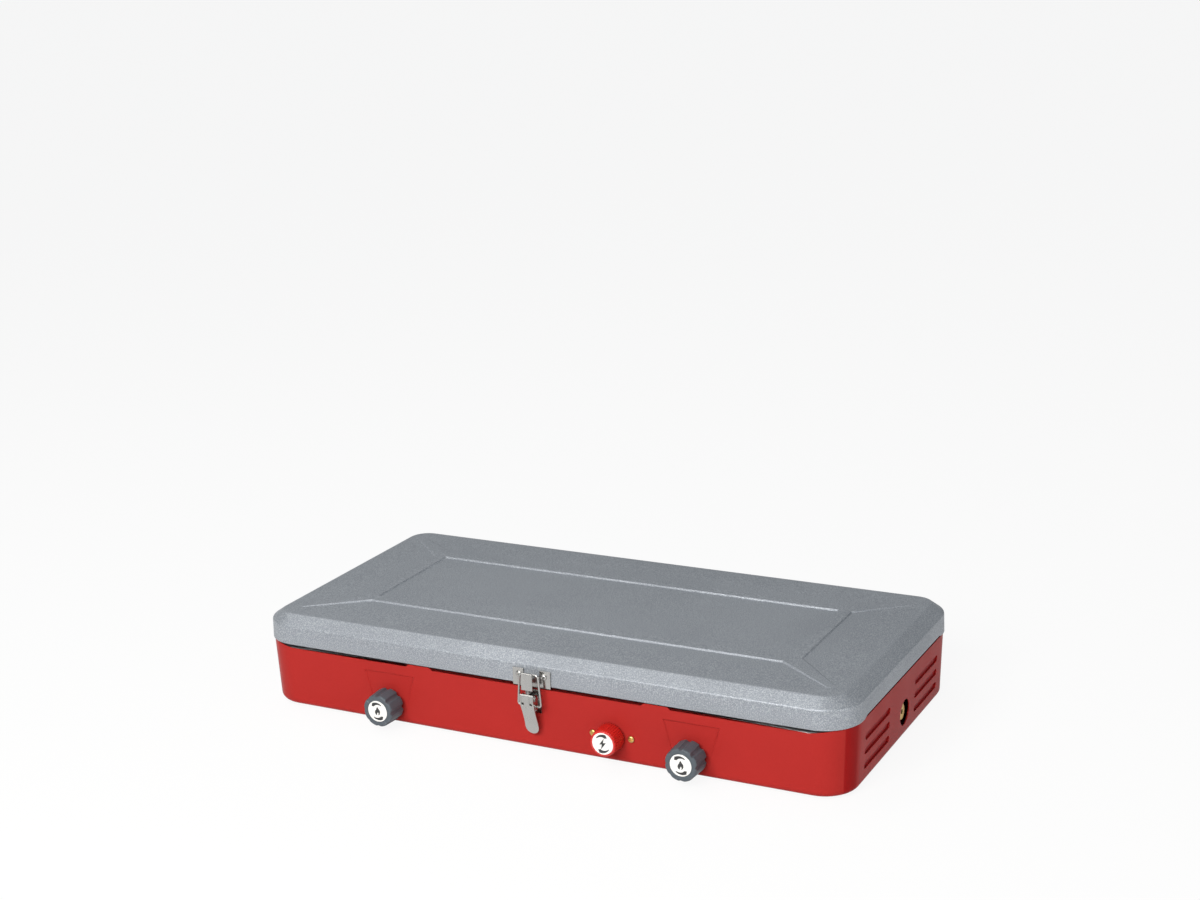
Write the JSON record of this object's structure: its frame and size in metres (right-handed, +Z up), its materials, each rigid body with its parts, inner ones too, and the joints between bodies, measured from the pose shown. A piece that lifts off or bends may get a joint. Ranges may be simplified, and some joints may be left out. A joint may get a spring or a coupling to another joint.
{
  "type": "two-burner camping stove",
  "caption": "Folding two-burner gas camping stove shut for carrying: red steel base, silver lid, slate knobs, red igniter knob and a wire draw latch.",
  "frame": {"origin": "on the ground, in the middle of the whole closed outline", "axes": "+X to the stove's right seen from the knobs, +Y from the knobs to the hinges, +Z up"},
  "size_m": [0.54, 0.2866, 0.0851],
  "materials": {
    "lid_powder_coat": "satin powder coat with fine grain",
    "red_enamel": "semi-gloss enamel",
    "nickel_plate": "polished nickel plate",
    "galvanised": "zinc plated",
    "bare_steel": "satin",
    "chrome_wire": "bright",
    "cast_aluminium": "as cast",
    "brass": "machined",
    "slate_plastic": "satin moulded",
    "red_plastic": "semi-gloss moulded",
    "white_plastic": "smooth",
    "black_plastic": "moulded",
    "porcelain": "glazed ceramic",
    "lead_insulation": "smooth silicone",
    "rubber": "matt"
  },
  "bodies": {
    "base": {"base_shell": "red_enamel", "rubber_feet": "rubber", "drip_tray": "bare_steel", "pan_grate": "chrome_wire", "burner_bracket_left": "galvanised", "burner_body_left": "cast_aluminium", "burner_cap_left": "cast_aluminium", "mixing_tube_left": "cast_aluminium", "gas_jet_left": "brass", "gas_valve_left": "brass", "electrode_left": "porcelain", "ignition_lead_left": "lead_insulation", "hinge_base_leaf_left": "nickel_plate", "burner_bracket_right": "galvanised", "burner_body_right": "cast_aluminium", "burner_cap_right": "cast_aluminium", "mixing_tube_right": "cast_aluminium", "gas_jet_right": "brass", "gas_valve_right": "brass", "electrode_right": "porcelain", "ignition_lead_right": "lead_insulation", "hinge_base_leaf_right": "nickel_plate", "valve_nuts": "brass", "manifold_pipe": "galvanised", "inlet_fitting": "brass", "inlet_bracket": "galvanised", "inlet_nut": "brass", "burner_screws": "galvanised", "igniter_body": "black_plastic", "igniter_screws": "brass", "latch_bracket": "nickel_plate", "floor_rivets": "galvanised", "latch_rivets": "nickel_plate", "hinge_base_rivets": "nickel_plate", "hinge_pins": "nickel_plate"},
    "lid": {"lid_shell": "lid_powder_coat", "catch_plate": "nickel_plate", "catch_rivets": "nickel_plate", "hinge_lid_leaf_left": "nickel_plate", "hinge_lid_leaf_right": "nickel_plate", "hinge_lid_rivets": "nickel_plate"},
    "knob_left": {"knob_left": "slate_plastic", "knob_disc_left": "white_plastic", "valve_stem_left": "brass"},
    "knob_right": {"knob_right": "slate_plastic", "knob_disc_right": "white_plastic", "valve_stem_right": "brass"},
    "igniter_knob": {"igniter_knob": "red_plastic", "igniter_disc_plate": "white_plastic", "igniter_spindle": "galvanised"},
    "latch_lever": {"latch_lever": "nickel_plate", "latch_pin": "nickel_plate"},
    "latch_bail": {"latch_bail": "nickel_plate"}
  },
  "joints": [
    {"name": "lid_hinge", "type": "hinge", "parent": "base", "child": "lid", "pos_m": [0, 0.13891, 0.05875], "axis": [-1, 0, 0], "range_deg": [0, 100]},
    {"name": "knob_left_turn", "type": "hinge", "parent": "base", "child": "knob_left", "pos_m": [-0.139, -0.13429, 0.0205], "axis": [0, -1, 0], "range_deg": [0, 270]},
    {"name": "knob_right_turn", "type": "hinge", "parent": "base", "child": "knob_right", "pos_m": [0.139, -0.13429, 0.0205], "axis": [0, -1, 0], "range_deg": [0, 270]},
    {"name": "igniter_turn", "type": "hinge", "parent": "base", "child": "igniter_knob", "pos_m": [0.0695, -0.12929, 0.025], "axis": [0, -1, 0], "continuous": true},
    {"name": "latch_lever_swing", "type": "hinge", "parent": "base", "child": "latch_lever", "pos_m": [0, -0.13129, 0.05], "axis": [-1, 0, 0], "range_deg": [0, 110]},
    {"name": "latch_bail_swing", "type": "hinge", "parent": "latch_lever", "child": "latch_bail", "pos_m": [0, -0.12979, 0.043], "axis": [1, 0, 0], "range_deg": [0, 82.5]}
  ],
  "couplings": [
    {"joint": "latch_bail_swing", "follows": "latch_lever_swing", "ratio": 0.75}
  ]
}
